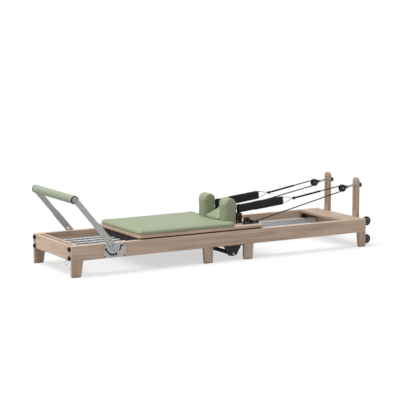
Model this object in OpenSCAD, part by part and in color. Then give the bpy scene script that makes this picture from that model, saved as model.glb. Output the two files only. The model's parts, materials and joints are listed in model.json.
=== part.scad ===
/* [Frame] */
// Length of the two folding halves together, end face to end face
frame_length = 2360; // [2300:1:2420]
// Width over the side rails
frame_width = 622; // [600:1:660]
// Height of the top of the side rails above the floor
frame_height = 206; // [190:1:230]
// Height of a side rail
rail_height = 98; // [90:1:104]
// Thickness of a side rail
rail_thickness = 38; // [32:1:40]
// Thickness of a leg
leg_thickness = 24; // [22:1:26]
// Distance of the fold seam from the foot end
fold_x = 1236; // [1230:1:1242]
// Height of the fold hinge pin above the floor
fold_pin_z = 46; // [42:1:50]
// Thickness of the pad under each leg
leg_pad_height = 4; // [2:1:6]

/* [Carriage] */
// Distance of the carriage board's foot edge from the foot end
carriage_x = 497; // [490:1:505]
// Length of the carriage board
carriage_length = 993; // [980:1:1000]
// Width of the carriage board
carriage_width = 606; // [590:1:610]
// Gap between the side rails and the carriage board
carriage_gap = 10; // [6:1:12]
// Thickness of the carriage board
board_thickness = 18; // [16:1:22]
// Thickness of the carriage pad
pad_thickness = 34; // [28:1:38]
// Length of the carriage pad, with the ears that run along the shoulder rests
pad_length = 766; // [750:1:770]
// Tilt of the headrest as it stands
headrest_angle = 23; // [15:1:25]
// Radius of a running wheel at its tread
wheel_radius = 24; // [22:0.5:24]

/* [Foot bar] */
// Distance of the foot bar pivot from the foot end
pivot_x = 299; // [295:1:305]
// Height of the foot bar pivot
pivot_z = 186; // [184:1:188]
// Distance from the pivot to the middle of the foot bar
bar_reach = 425; // [400:1:430]
// Lean of the foot bar arms towards the foot end
bar_angle = 40; // [38:1:42]
// Radius of the foam grip
grip_radius = 27.5; // [24:0.5:30]
// Radius of the path that the lock pins swing on
track_radius = 55; // [54:0.5:57]
// How far the foot bar drops to lock in a notch
drop_travel = 9; // [8:0.5:9]

/* [Rope end] */
// Distance of each rope post and pulley from the middle
pulley_y = 180; // [176:1:184]
// Height of the top of a rope post
post_top = 494; // [480:1:510]
// Height of the riser bolt as it stands
riser_z = 437; // [420:1:440]
// Radius of a transport wheel
end_wheel_radius = 34; // [30:1:35]
// Radius of the rope
rope_radius = 4; // [3:0.5:4.5]

/* [Hidden] */
$fn = 48;

// Every length below is in the frame's own run from the foot end; place() moves it to the
// middle of the object's footprint.
bumper_length = 12;
end_wheel_x = frame_length + 46;
origin_x = (end_wheel_x + end_wheel_radius - bumper_length) / 2;

rail_bottom = frame_height - rail_height;
rail_outer = frame_width / 2;
rail_inner = rail_outer - rail_thickness;
seam_gap = 0.5;
end_board_depth = 66;
jump_slot_x = 36;
jump_slot_width = 26;
jump_slot_length = 500;
jump_slot_depth = 56;

track_width = 38;
track_height = 39;
track_wall = 3;
track_top = rail_bottom + track_height;
track_inner = rail_inner - track_width;
ridge_y = (rail_inner + track_inner) / 2;
ridge_radius = 4;
head_track_end = 2295;

board_bottom = frame_height + carriage_gap;
board_top = board_bottom + board_thickness;
axle_z = track_top + wheel_radius + 0.2;
front_axle_x = carriage_x + 73;
rear_axle_x = fold_x - 46;
wheel_width = 21;

plate_thickness = 5;
plate_outer = rail_outer + plate_thickness;
plate_left = 226;
plate_right = 391;
plate_margin = 2;
arm_inner = plate_outer + 1;
arm_thickness = 7;
arm_outer = arm_inner + arm_thickness;
pin_radius = 4.5;
track_half_width = 4.8;
notch_angles = [-72, -20, 0, 20, bar_angle, 90];
track_ends = [-82.5, 97.5];
pivot_radius = 6;

beam_inner_x = 2312;
beam_outer_x = 2350;
platform_x = 2175;
platform_thickness = 18;
post_thickness = 24;
post_width = 54;
post_back_x = beam_outer_x + post_thickness;
slot_low = 255;
slot_high = 462;
slot_half_width = 5;
eye_x = beam_outer_x - 17;
sheave_x = 2238;
sheave_z = riser_z - 14;
rope_pitch = 20;
block_angle = atan((riser_z - sheave_z) / (eye_x - sheave_x));
block_reach = norm([eye_x - sheave_x, riser_z - sheave_z]);
end_wheel_y = 254;
end_wheel_heights = [45, 177];

rest_x = 1235;
rest_length = 94;
rest_inner = 94;
rest_width = 97;
rest_top = 420;
peg_x = 1370;
peg_y = 150;
peg_z = 334;
cleat_x = 1352;
cleat_length = 130;
cleat_y = 229;
rope_start_x = cleat_x + cleat_length + 4;
rope_start_z = 250;
ring_x = 1825;
ring_z = 378;
strap_angle = atan((ring_z - peg_z) / (ring_x - peg_x));
strap_drift = atan((pulley_y - peg_y) / (sheave_x - peg_x));

hinge_x = 1238;
hinge_z = board_top + 6;
headrest_length = 168;
headrest_half_width = 91;
headrest_board_low = 1;
headrest_pad_low = 9;
headrest_pad_thickness = 26;

spring_ys = [-160, -80, 0, 80, 160];
spring_z = 160;
spring_bar_x = 74;
spring_bar_depth = 20;
spring_rail_x = carriage_x + 23;

oak = [0.77, 0.67, 0.57];
oak_side = [0.60, 0.49, 0.41];
sage = [0.62, 0.67, 0.55];
sage_dark = [0.52, 0.57, 0.45];
alloy = [0.66, 0.67, 0.68];
zinc = [0.75, 0.75, 0.74];
black = [0.06, 0.06, 0.06];
webbing = [0.04, 0.04, 0.045];

module place() { translate([-origin_x, 0, 0]) children(); }

// Both sides: the child is drawn for the far side (+Y) and mirrored to the near side.
module both_sides() {
    children();
    mirror([0, 1, 0]) children();
}

// side is 1 for the far side and -1 for the near side.
module one_side(side) {
    if (side > 0) children();
    else mirror([0, 1, 0]) children();
}

module box(low, high) { translate(low) cube(high - low); }

// Cylinder along Y from y = low to y = high
module rod_y(x, z, radius, low, high) {
    translate([x, high, z]) rotate([90, 0, 0]) cylinder(h = high - low, r = radius);
}

// Cylinder along X from x = low to x = high
module rod_x(y, z, radius, low, high) {
    translate([low, y, z]) rotate([0, 90, 0]) cylinder(h = high - low, r = radius);
}

// Outline in the XZ plane, extruded from y = low to y = high
module slab_y(points, low, high) {
    translate([0, high, 0]) rotate([90, 0, 0]) linear_extrude(high - low) polygon(points);
}

// Plan outline with rounded corners
module rounded_plan(low, high, radius) {
    size = high - low;
    translate(low + [radius, 0]) square(size - [2 * radius, 0]);
    translate(low + [0, radius]) square(size - [0, 2 * radius]);
    for (x = [low.x + radius, high.x - radius], y = [low.y + radius, high.y - radius])
        translate([x, y]) circle(r = radius);
}

// ---- foot half ----

module foot_half_rails() {
    color(oak_side) place() both_sides() difference() {
        box([0, rail_inner, rail_bottom], [fold_x - seam_gap, rail_outer, frame_height]);
        rod_y(pivot_x, pivot_z, pivot_radius + 0.05, rail_outer - 28, rail_outer + 1);
    }
}

module foot_end_board() {
    color(oak) place() difference() {
        box([0, -rail_inner, rail_bottom], [end_board_depth, rail_inner, frame_height]);
        translate([0, 0, frame_height - jump_slot_depth]) linear_extrude(jump_slot_depth + 1)
            rounded_plan(
                [jump_slot_x - jump_slot_width / 2, -jump_slot_length / 2],
                [jump_slot_x + jump_slot_width / 2, jump_slot_length / 2],
                jump_slot_width / 2 - 0.1
            );
    }
}

// Leg with its top from x = top.x to top.y and its foot from x = foot.x to foot.y
module leg(top, foot) {
    slab_y([
        [foot.x, leg_pad_height], [foot.y, leg_pad_height], [top.y, rail_bottom], [top.x, rail_bottom]
    ], rail_outer - leg_thickness, rail_outer);
}

module leg_pad(foot) {
    box([foot.x + 2, rail_outer - leg_thickness + 2, 0], [foot.y - 2, rail_outer - 2, leg_pad_height]);
}

foot_end_foot = [0, 66];
foot_mid_foot = [1002, 1065];
head_mid_foot = [1321, 1388];
head_end_foot = [frame_length - 57, frame_length];

module foot_half_legs() {
    color(oak_side) place() both_sides() {
        leg([0, 83], foot_end_foot);
        leg([994, 1068], foot_mid_foot);
    }
}

module foot_half_leg_pads() {
    color(black) place() both_sides() {
        leg_pad(foot_end_foot);
        leg_pad(foot_mid_foot);
    }
}

// Hollow aluminium track with a round ridge on top that guides the running wheels
module track(start, stop) {
    difference() {
        union() {
            box([start, track_inner, rail_bottom], [stop, rail_inner, track_top]);
            rod_x(ridge_y, track_top, ridge_radius, start, stop);
        }
        box(
            [start - 1, track_inner + track_wall, rail_bottom + track_wall],
            [stop + 1, rail_inner - track_wall, track_top - track_wall - ridge_radius + 2]
        );
    }
}

module foot_half_tracks() {
    color(alloy) place() both_sides() track(end_board_depth, fold_x - seam_gap);
}

module spring_bar() {
    color(zinc) place() {
        box(
            [spring_bar_x, -track_inner, spring_z - 10],
            [spring_bar_x + spring_bar_depth, track_inner, spring_z + 10]
        );
        for (y = spring_ys) rod_x(y, spring_z, 6, spring_bar_x + spring_bar_depth, spring_bar_x + 26);
    }
}

module springs() {
    start = spring_bar_x + 26.2;
    stop = spring_rail_x - 0.2;
    color(zinc) place() for (y = spring_ys) difference() {
        rod_x(y, spring_z, 14, start, stop);
        rod_x(y, spring_z, 11, start + 6, stop - 6);
    }
}

// Cut that the lock pins run in: an arc about the pivot with notches on its outer side
module lock_track(low, high) {
    span = high - low;
    translate([pivot_x, high, pivot_z]) rotate([90, 0, 0]) {
        intersection() {
            difference() {
                cylinder(h = span, r = track_radius + track_half_width);
                translate([0, 0, -1]) cylinder(h = span + 2, r = track_radius - track_half_width);
            }
            linear_extrude(span) polygon(concat(
                [[0, 0]], [for (a = [track_ends[0] : 22.5 : track_ends[1]]) 100 * [sin(a), -cos(a)]]
            ));
        }
        for (a = notch_angles) rotate([0, 0, a]) {
            depth = a == 90 ? drop_travel + 5 : drop_travel;
            translate([-track_half_width, -track_radius - depth, 0])
                cube([2 * track_half_width, depth, span]);
            translate([0, -track_radius - depth, 0]) cylinder(h = span, r = track_half_width);
        }
    }
}

screw_head = 5.5;
plate_screw_points = [
    for (x = [plate_left + 10, plate_right - 10], z = [rail_bottom + 12, frame_height - 12]) [x, z]
];

module footbar_side_plates() {
    color(zinc) place() both_sides() difference() {
        translate([0, plate_outer, 0]) rotate([90, 0, 0]) linear_extrude(plate_thickness)
            rounded_plan(
                [plate_left, rail_bottom + plate_margin], [plate_right, frame_height - plate_margin], 5
            );
        lock_track(rail_outer - 1, plate_outer + 1);
        rod_y(pivot_x, pivot_z, pivot_radius + 0.05, rail_outer - 1, plate_outer + 1);
        for (p = plate_screw_points) {
            rod_y(p.x, p.y, 3.1, rail_outer - 1, plate_outer + 1);
            rod_y(p.x, p.y, screw_head + 0.1, plate_outer - 2.6, plate_outer + 1);
        }
        rod_y(326, 168, 4, rail_outer - 1, plate_outer + 1);
    }
}

module side_plate_screws() {
    color(black) place() both_sides() for (p = plate_screw_points) difference() {
        union() {
            rod_y(p.x, p.y, 3, rail_outer, plate_outer - 2);
            rod_y(p.x, p.y, screw_head, plate_outer - 2.6, plate_outer);
        }
        rod_y(p.x, p.y, 2, plate_outer - 1.5, plate_outer + 1);
    }
}

module end_bumpers() {
    bumper_y = rail_inner + 6;
    color(black) place() both_sides() for (z = [125, 185]) difference() {
        union() {
            rod_x(bumper_y, z, 14.5, -bumper_length + 3, 0);
            rod_x(bumper_y, z, 12.5, -bumper_length, -bumper_length + 3);
        }
        rod_x(bumper_y, z, 4, -bumper_length - 1, -bumper_length + 4);
    }
}

ring_y = -206;
ring_post_x = 12;
ring_radius = 15;
ring_wire = 1.6;
ring_pivot_z = rail_bottom - 6;

// Screw eye under the end board that holds the pull ring
module ring_eye() {
    color(zinc) place() translate([ring_post_x, ring_y, ring_pivot_z]) {
        rotate([0, 90, 0]) rotate_extrude() translate([4.5, 0]) circle(r = 1.5);
        translate([0, 0, 5]) cylinder(h = 1, r = 1.5);
    }
}

module pull_ring() {
    color(zinc) place() translate([ring_post_x, ring_y, ring_pivot_z - ring_radius])
        rotate([90, 0, 0]) rotate_extrude() translate([ring_radius, 0]) circle(r = ring_wire);
}

hinge_plate = 6;
foot_plate_y = 290;
head_plate_y = 282;
hinge_reach = 75;
hinge_eye = 17;
hinge_pin = 8;

// Drop bracket under one rail end: a flange, and a plate that narrows to an eye round the fold pin.
// It reaches away from the seam towards -X.
module drop_bracket(plate_y, pin_clearance) {
    box(
        [fold_x - hinge_reach, rail_inner + 2, rail_bottom - 6],
        [fold_x - 5, rail_outer - 2, rail_bottom]
    );
    difference() {
        union() {
            slab_y([
                [fold_x - hinge_reach, rail_bottom - 6], [fold_x - 34, fold_pin_z - 11],
                [fold_x, fold_pin_z - 16], [fold_x, fold_pin_z + 16], [fold_x - 5, rail_bottom - 6]
            ], plate_y, plate_y + hinge_plate);
            rod_y(fold_x, fold_pin_z, hinge_eye, plate_y, plate_y + hinge_plate);
        }
        rod_y(fold_x, fold_pin_z, hinge_pin + pin_clearance, plate_y - 1, plate_y + hinge_plate + 1);
    }
}

module foot_hinge_brackets() {
    color(black) place() both_sides() drop_bracket(foot_plate_y, 0.05);
}

module head_hinge_brackets() {
    color(black) place() both_sides()
        translate([2 * fold_x, 0, 0]) mirror([1, 0, 0]) drop_bracket(head_plate_y, 0.06);
}

module hinge_tube() {
    color(black) place() {
        rod_y(fold_x, fold_pin_z, 14, -head_plate_y + 1.5, head_plate_y - 1.5);
        rod_y(fold_x, fold_pin_z, hinge_pin, -foot_plate_y - 14, foot_plate_y + 14);
        both_sides() rod_y(
            fold_x, fold_pin_z, 10, foot_plate_y + hinge_plate + 0.3, foot_plate_y + hinge_plate + 5
        );
    }
}

module front_stop_blocks() {
    color(black) place() both_sides()
        stop_block(front_axle_x - 58, front_axle_x - 28, front_axle_x - 28);
}

// Rubber block that sits over the ridge of a track, with a round buffer on its working side
module stop_block(low, high, buffer) {
    difference() {
        union() {
            box([low, ridge_y - 14, track_top], [high, ridge_y + 14, track_top + 25]);
            rod_x(ridge_y, track_top + 15, 7, min(low, buffer), max(high, buffer));
        }
        rod_x(ridge_y, track_top, ridge_radius + 0.05, low - 1, high + 1);
    }
}

// ---- head half ----

module head_half_rails() {
    color(oak_side) place() both_sides()
        box([fold_x + seam_gap, rail_inner, rail_bottom], [frame_length, rail_outer, frame_height]);
}

module head_end_beam() {
    color(oak) place() box(
        [beam_inner_x, -rail_inner, rail_bottom],
        [beam_outer_x, rail_inner, frame_height - platform_thickness]
    );
}

module rope_end_platform() {
    color(oak) place() box(
        [platform_x, -rail_inner, frame_height - platform_thickness],
        [beam_outer_x, rail_inner, frame_height]
    );
}

module head_half_legs() {
    color(oak_side) place() both_sides() {
        leg([1317, 1395], head_mid_foot);
        leg([frame_length - 69, frame_length], head_end_foot);
    }
}

module head_half_leg_pads() {
    color(black) place() both_sides() {
        leg_pad(head_mid_foot);
        leg_pad(head_end_foot);
    }
}

module head_half_tracks() {
    color(alloy) place() both_sides() track(fold_x + seam_gap, head_track_end);
}

post_bolt_heights = [135, 197];

module rope_posts() {
    top_radius = post_width / 2;
    color(oak) place() both_sides() difference() {
        union() {
            box(
                [beam_outer_x, pulley_y - top_radius, rail_bottom + 4],
                [post_back_x, pulley_y + top_radius, post_top - top_radius]
            );
            rod_x(pulley_y, post_top - top_radius, top_radius, beam_outer_x, post_back_x);
        }
        box(
            [beam_outer_x - 1, pulley_y - slot_half_width, slot_low],
            [post_back_x + 1, pulley_y + slot_half_width, slot_high]
        );
        for (z = [slot_low, slot_high])
            rod_x(pulley_y, z, slot_half_width, beam_outer_x - 1, post_back_x + 1);
        for (z = post_bolt_heights) rod_x(pulley_y, z, 4.1, beam_outer_x - 1, post_back_x + 1);
    }
}

module post_bolts() {
    color(black) place() both_sides() for (z = post_bolt_heights) {
        rod_x(pulley_y, z, 4, beam_outer_x, post_back_x);
        rod_x(pulley_y, z, 8, post_back_x, post_back_x + 6);
    }
}

module end_wheel_brackets() {
    outer = end_wheel_y + 18;
    inner = end_wheel_y - 18;
    color(black) place() both_sides() {
        box([beam_outer_x, inner, 34], [beam_outer_x + 5, outer, 204]);
        for (z = end_wheel_heights) {
            for (y = [inner, outer - 4]) slab_y([
                [beam_outer_x + 5, z - 17], [end_wheel_x, z - 12], [end_wheel_x + 10, z],
                [end_wheel_x, z + 12], [beam_outer_x + 5, z + 17]
            ], y, y + 4);
            rod_y(end_wheel_x, z, 5, inner + 4, outer - 4);
        }
    }
}

module end_wheel(side, z) {
    color(black) place() one_side(side) difference() {
        union() {
            rod_y(end_wheel_x, z, end_wheel_radius, end_wheel_y - 10, end_wheel_y + 10);
            rod_y(end_wheel_x, z, 14, end_wheel_y - 12.5, end_wheel_y + 12.5);
        }
        rod_y(end_wheel_x, z, 5.06, end_wheel_y - 14, end_wheel_y + 14);
    }
}

module rear_stop_blocks() {
    color(black) place() both_sides() stop_block(2192, 2220, 2172);
}

// ---- carriage ----

module carriage_board() {
    color(oak) place() translate([0, 0, board_bottom]) linear_extrude(board_thickness)
        rounded_plan(
            [carriage_x, -carriage_width / 2], [carriage_x + carriage_length, carriage_width / 2], 22
        );
}

// Steel work under the board: spring rail, cross rail, wheel cheeks with axles, and rear lugs
module carriage_undercarriage() {
    color(black) place() {
        box(
            [spring_rail_x, -track_inner + 4, spring_z - 12],
            [spring_rail_x + 16, track_inner - 4, board_bottom]
        );
        box(
            [rear_axle_x - 15, -track_inner + 4, board_bottom - 24],
            [rear_axle_x + 15, track_inner - 4, board_bottom]
        );
        both_sides() {
            for (x = [front_axle_x, rear_axle_x]) {
                for (y = [ridge_y - 17, ridge_y + 13])
                    box([x - 22, y, axle_z - 10], [x + 22, y + 4, board_bottom]);
                rod_y(x, axle_z, 5, ridge_y - 14, ridge_y + 14);
            }
            box(
                [carriage_x + carriage_length - 20, ridge_y - 10, track_top + 8],
                [carriage_x + carriage_length, ridge_y + 10, board_bottom]
            );
        }
    }
}

// Grooved running wheels on one axle line
module running_wheels(x) {
    color(zinc) place() both_sides() translate([x, ridge_y, axle_z]) rotate([90, 0, 0]) rotate_extrude()
        difference() {
            translate([5.06, -wheel_width / 2]) square([wheel_radius - 5.06, wheel_width]);
            translate([wheel_radius + 0.2, 0]) circle(r = ridge_radius + 0.3);
        }
}

module carriage_pad() {
    inset = 2;
    notch_y = rest_inner + rest_width + 1.5;
    color(sage) place() translate([0, 0, board_top]) linear_extrude(pad_thickness) difference() {
        rounded_plan(
            [carriage_x + inset, -carriage_width / 2 + 1],
            [carriage_x + inset + pad_length, carriage_width / 2 - 1], 40
        );
        translate([rest_x - 1.5, -notch_y]) square([100, 2 * notch_y]);
        translate([hinge_x - 21, -rest_inner + 1]) square([100, 2 * rest_inner - 2]);
    }
}

// Shoulder rest block with a round top, seen from the side as an arch
module shoulder_rest(side) {
    arch = rest_length / 2;
    color(sage_dark) place() one_side(side) {
        box([rest_x, rest_inner, board_top], [rest_x + rest_length, rest_inner + rest_width, rest_top - arch]);
        intersection() {
            rod_y(rest_x + arch, rest_top - arch, arch, rest_inner, rest_inner + rest_width);
            box(
                [rest_x - 1, rest_inner - 1, rest_top - arch],
                [rest_x + rest_length + 1, rest_inner + rest_width + 1, rest_top + 1]
            );
        }
    }
}

module shoulder_rest_brackets() {
    color(black) place() both_sides() {
        box([rest_x + rest_length, peg_y - 25, board_top], [peg_x + 12, peg_y + 25, board_top + 6]);
        box([rest_x + rest_length, peg_y - 25, board_top + 6], [rest_x + rest_length + 5, peg_y + 25, 372]);
        difference() {
            box([rest_x + rest_length + 5, peg_y - 25, board_top + 6], [peg_x + 12, peg_y + 25, 304]);
            box([rest_x + rest_length + 9, peg_y - 21, board_top + 5], [peg_x + 8, peg_y + 21, 300]);
        }
        translate([peg_x, peg_y, 304]) cylinder(h = 62, r = 9);
        translate([rest_x + rest_length + 16, peg_y + 25, board_top + 14])
            rotate([-90, 0, 0]) cylinder(h = 6, r = 7);
    }
}

// Cam cleat that holds the free end of the rope
module rope_cleats() {
    color(black) place() both_sides() {
        box([cleat_x, cleat_y - 17, board_top], [cleat_x + cleat_length, cleat_y + 17, board_top + 6]);
        for (side = [-1, 1]) translate([cleat_x + 78, cleat_y + side * 11, board_top + 6])
            cylinder(h = 24, r = 6.5);
        box([cleat_x + 6, cleat_y - 14, board_top + 6], [cleat_x + 60, cleat_y + 14, board_top + 40]);
        difference() {
            box(
                [cleat_x + cleat_length - 14, cleat_y - 13, board_top + 6],
                [cleat_x + cleat_length - 4, cleat_y + 13, board_top + 26]
            );
            rod_x(cleat_y, rope_start_z, 6, cleat_x + cleat_length - 16, cleat_x + cleat_length);
        }
    }
}

hinge_knuckle = 5.8;
hinge_knuckles = [[-72, -48], [48, 72]];

// Fixed leaves and pins of the two detent hinges, screwed to the carriage board
module headrest_hinge() {
    color(zinc) place() for (k = hinge_knuckles) {
        rod_y(hinge_x, hinge_z, 3, k[0], k[1]);
        for (side = [0, 1]) {
            low = side == 0 ? k[0] - 8 : k[1];
            rod_y(hinge_x, hinge_z, hinge_knuckle, low, low + 8);
            box([hinge_x - 4, low, board_top], [hinge_x + 4, low + 8, hinge_z]);
            box([hinge_x - 12, low, board_top], [hinge_x + 12, low + 8, board_top + 2]);
        }
    }
}

module headrest_frame() {
    translate([hinge_x, 0, hinge_z]) rotate([0, -headrest_angle, 0]) children();
}

module headrest_board() {
    color(oak) place() headrest_frame() {
        difference() {
            box(
                [-2, -headrest_half_width + 4, headrest_board_low],
                [headrest_length - 6, headrest_half_width - 4, headrest_pad_low]
            );
            for (k = hinge_knuckles)
                box([-7, k[0] - 9, headrest_board_low - 1], [8, k[1] + 9, headrest_pad_low + 1]);
        }
        for (k = hinge_knuckles) difference() {
            union() {
                rod_y(0, 0, hinge_knuckle, k[0] + 0.5, k[1] - 0.5);
                box([0, k[0] + 0.5, headrest_board_low], [12, k[1] - 0.5, headrest_pad_low]);
            }
            rod_y(0, 0, 3.06, k[0] - 1, k[1] + 1);
        }
    }
}

module headrest_pad() {
    color(sage) place() headrest_frame() translate([0, 0, headrest_pad_low])
        linear_extrude(headrest_pad_thickness)
            rounded_plan([2, -headrest_half_width], [headrest_length, headrest_half_width], 14);
}

// ---- foot bar ----

module bar_frame() { translate([pivot_x, 0, pivot_z]) rotate([0, -bar_angle, 0]) children(); }

module footbar_pivot_bolts() {
    color(zinc) place() both_sides() {
        rod_y(pivot_x, pivot_z, pivot_radius, rail_outer - 26, arm_outer + 1.5);
        rod_y(pivot_x, pivot_z, 10, arm_outer + 1.5, arm_outer + 6);
    }
}

// Arms with the round boss at the bar, the wider guide round the pivot slot, and the lock pins
module footbar_arms() {
    slot_reach = drop_travel + 1;
    color(alloy) place() both_sides() bar_frame() difference() {
        union() {
            box([-18.5, arm_inner, 0], [18.5, arm_outer, bar_reach]);
            rod_y(0, bar_reach, 21, arm_inner, arm_outer);
            box([-13, arm_inner, -track_radius], [13, arm_outer, 0]);
            rod_y(0, -track_radius, 13, arm_inner, arm_outer);
            box([-22, arm_inner, -16], [22, arm_outer + 1, 198]);
            rod_y(0, -track_radius, pin_radius, rail_outer + 0.5, arm_inner);
        }
        rod_y(0, -1, pivot_radius + 0.15, arm_inner - 1, arm_outer + 2);
        rod_y(0, slot_reach, pivot_radius + 0.15, arm_inner - 1, arm_outer + 2);
        box(
            [-pivot_radius - 0.15, arm_inner - 1, -1], [pivot_radius + 0.15, arm_outer + 2, slot_reach]
        );
        for (z = [36, 52]) rod_y(0, z, 4, arm_inner - 1, arm_outer + 2);
        box([-4, arm_inner - 1, 36], [4, arm_outer + 2, 52]);
        rod_y(0, bar_reach, 5.1, arm_inner - 1, arm_outer + 1);
        rod_y(0, bar_reach, 12, arm_outer - 3, arm_outer + 1);
    }
}

module footbar_tube() {
    color(alloy) place() bar_frame() difference() {
        rod_y(0, bar_reach, 12.5, -arm_inner, arm_inner);
        both_sides() rod_y(0, bar_reach, 5.1, arm_inner - 30, arm_inner + 1);
    }
}

module footbar_grip() {
    color(sage) place() bar_frame() difference() {
        rod_y(0, bar_reach, grip_radius, -arm_inner + 9, arm_inner - 9);
        rod_y(0, bar_reach, 12.6, -arm_inner, arm_inner);
    }
}

module footbar_end_rings() {
    color(black) place() both_sides() bar_frame() difference() {
        rod_y(0, bar_reach, grip_radius, arm_inner - 9, arm_inner - 2);
        rod_y(0, bar_reach, 12.6, arm_inner - 10, arm_inner);
    }
}

module footbar_end_screws() {
    color(zinc) place() both_sides() bar_frame() difference() {
        union() {
            rod_y(0, bar_reach, 5, arm_inner - 28, arm_outer - 3);
            rod_y(0, bar_reach, 9, arm_outer - 3, arm_outer + 2);
        }
        translate([0, arm_outer + 3, bar_reach]) rotate([90, 0, 0]) cylinder(h = 4, r = 4.6, $fn = 6);
    }
}

// ---- rope end hardware, one set a side ----

module riser_bolt(side) {
    color(zinc) place() one_side(side) {
        difference() {
            union() {
                rod_y(eye_x, riser_z, 12, pulley_y - 4, pulley_y + 4);
                rod_x(pulley_y, riser_z, 4, eye_x + 10, post_back_x + 24);
                rod_x(pulley_y, riser_z, 17, beam_outer_x - 3.2, beam_outer_x - 0.2);
            }
            rod_y(eye_x, riser_z, 6.05, pulley_y - 5, pulley_y + 5);
        }
    }
}

module riser_knob(side) {
    color(black) place() one_side(side) difference() {
        union() {
            rod_x(pulley_y, riser_z, 10, post_back_x + 0.2, post_back_x + 8);
            rod_x(pulley_y, riser_z, 17, post_back_x + 8, post_back_x + 28);
        }
        rod_x(pulley_y, riser_z, 4.05, post_back_x - 1, post_back_x + 24.5);
    }
}

// Cheeks, sheave pin, and the clevis that hangs in the riser bolt's eye
module pulley_block(side) {
    color(black) place() one_side(side)
        translate([eye_x, 0, riser_z]) rotate([0, -block_angle, 0]) {
            for (y = [pulley_y - 12, pulley_y + 9]) {
                rod_y(-block_reach, 0, 26, y, y + 3);
                box([-block_reach, y, -9], [-44, y + 3, 9]);
            }
            box([-56, pulley_y - 9, -6], [-44, pulley_y + 9, 6]);
            for (y = [pulley_y - 8, pulley_y + 5]) {
                box([-44, y, -5], [0, y + 3, 5]);
                rod_y(0, 0, 8, y, y + 3);
            }
            rod_y(0, 0, 6, pulley_y - 8, pulley_y + 8);
            rod_y(-block_reach, 0, 4, pulley_y - 13, pulley_y + 13);
        }
}

module sheave(side) {
    groove = rope_radius + 1.4;
    color(black) place() one_side(side)
        translate([sheave_x, pulley_y, sheave_z]) rotate([90, 0, 0]) rotate_extrude() difference() {
            translate([4.06, -7]) square([21, 14]);
            translate([rope_pitch + 0.8, 0]) circle(r = groove);
            translate([rope_pitch + 0.8, -groove]) square([8, 2 * groove]);
        }
}

function slope_to_sheave(x, z, low) =
    let (dx = sheave_x - x, dz = sheave_z - z, d = norm([dx, dz]))
    atan2(dz, dx) + (low ? -1 : 1) * asin(rope_pitch / d);

// Rope from a point to its tangent on the sheave
module rope_run(x, y, z, low) {
    slope = slope_to_sheave(x, z, low);
    run = sqrt(pow(sheave_x - x, 2) + pow(sheave_z - z, 2) - pow(rope_pitch, 2));
    drift = atan2(pulley_y - y, run);
    translate([x, y, z]) rotate([0, -slope, 0]) rotate([0, 0, drift])
        rotate([0, 90, 0]) cylinder(h = run, r = rope_radius);
}

module rope(side) {
    lower = slope_to_sheave(rope_start_x, rope_start_z, true);
    upper = slope_to_sheave(ring_x, ring_z, false);
    color(webbing) place() one_side(side) {
        rope_run(rope_start_x, cleat_y, rope_start_z, true);
        translate([sheave_x, pulley_y, sheave_z]) rotate([90, 0, 0])
            rotate([0, 0, lower - 90]) rotate_extrude(angle = 180 + upper - lower)
                translate([rope_pitch, 0]) circle(r = rope_radius);
    }
}

// Hand loop round the peg, its padded sleeve, and the upper rope to the sheave
module strap(side) {
    band = 6;
    bend = 12;
    length = 358;
    height = 52;
    y_start = peg_y + (ring_x - peg_x) * tan(strap_drift);
    color(webbing) place() one_side(side) {
        translate([peg_x, peg_y, peg_z]) rotate([0, -strap_angle, 0]) rotate([0, 0, strap_drift])
            translate([0, 0, -height / 2]) linear_extrude(height) {
                difference() {
                    circle(r = bend + band);
                    circle(r = bend);
                    translate([0, -30]) square([60, 60]);
                }
                for (s = [-1, 1]) polygon([
                    [0, s * bend], [0, s * (bend + band)], [length, s * 9], [length, s * 3]
                ]);
            }
        translate([peg_x, peg_y, peg_z]) rotate([0, -strap_angle, 0]) rotate([0, 0, strap_drift])
            rod_x(0, 0, 4, length, (ring_x - peg_x) / cos(strap_angle) / cos(strap_drift));
        rope_run(ring_x + 3, y_start, ring_z, false);
    }
}

foot_half_rails();
foot_end_board();
foot_half_legs();
foot_half_leg_pads();
foot_half_tracks();
spring_bar();
springs();
footbar_side_plates();
side_plate_screws();
end_bumpers();
ring_eye();
foot_hinge_brackets();
hinge_tube();
front_stop_blocks();
head_half_rails();
head_end_beam();
rope_end_platform();
head_half_legs();
head_half_leg_pads();
head_half_tracks();
head_hinge_brackets();
rope_posts();
post_bolts();
end_wheel_brackets();
rear_stop_blocks();
carriage_board();
carriage_undercarriage();
carriage_pad();
shoulder_rest(-1);  // near_shoulder_rest
shoulder_rest(1);  // far_shoulder_rest
shoulder_rest_brackets();
rope_cleats();
headrest_hinge();
headrest_board();
headrest_pad();
running_wheels(front_axle_x);  // front_wheels
running_wheels(rear_axle_x);  // rear_wheels
footbar_pivot_bolts();
footbar_arms();
footbar_tube();
footbar_grip();
footbar_end_rings();
footbar_end_screws();
pull_ring();
riser_bolt(-1);  // near_riser_bolt
riser_knob(-1);  // near_riser_knob
pulley_block(-1);  // near_pulley_block
sheave(-1);  // near_sheave
riser_bolt(1);  // far_riser_bolt
riser_knob(1);  // far_riser_knob
pulley_block(1);  // far_pulley_block
sheave(1);  // far_sheave
strap(-1);  // near_strap
strap(1);  // far_strap
rope(-1);  // near_rope
rope(1);  // far_rope
end_wheel(-1, end_wheel_heights[1]);  // near_upper_wheel
end_wheel(-1, end_wheel_heights[0]);  // near_lower_wheel
end_wheel(1, end_wheel_heights[1]);  // far_upper_wheel
end_wheel(1, end_wheel_heights[0]);  // far_lower_wheel
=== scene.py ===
import json
import math

import bmesh
import bpy
from mathutils import Matrix, Vector, noise
from mathutils.bvhtree import BVHTree


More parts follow.
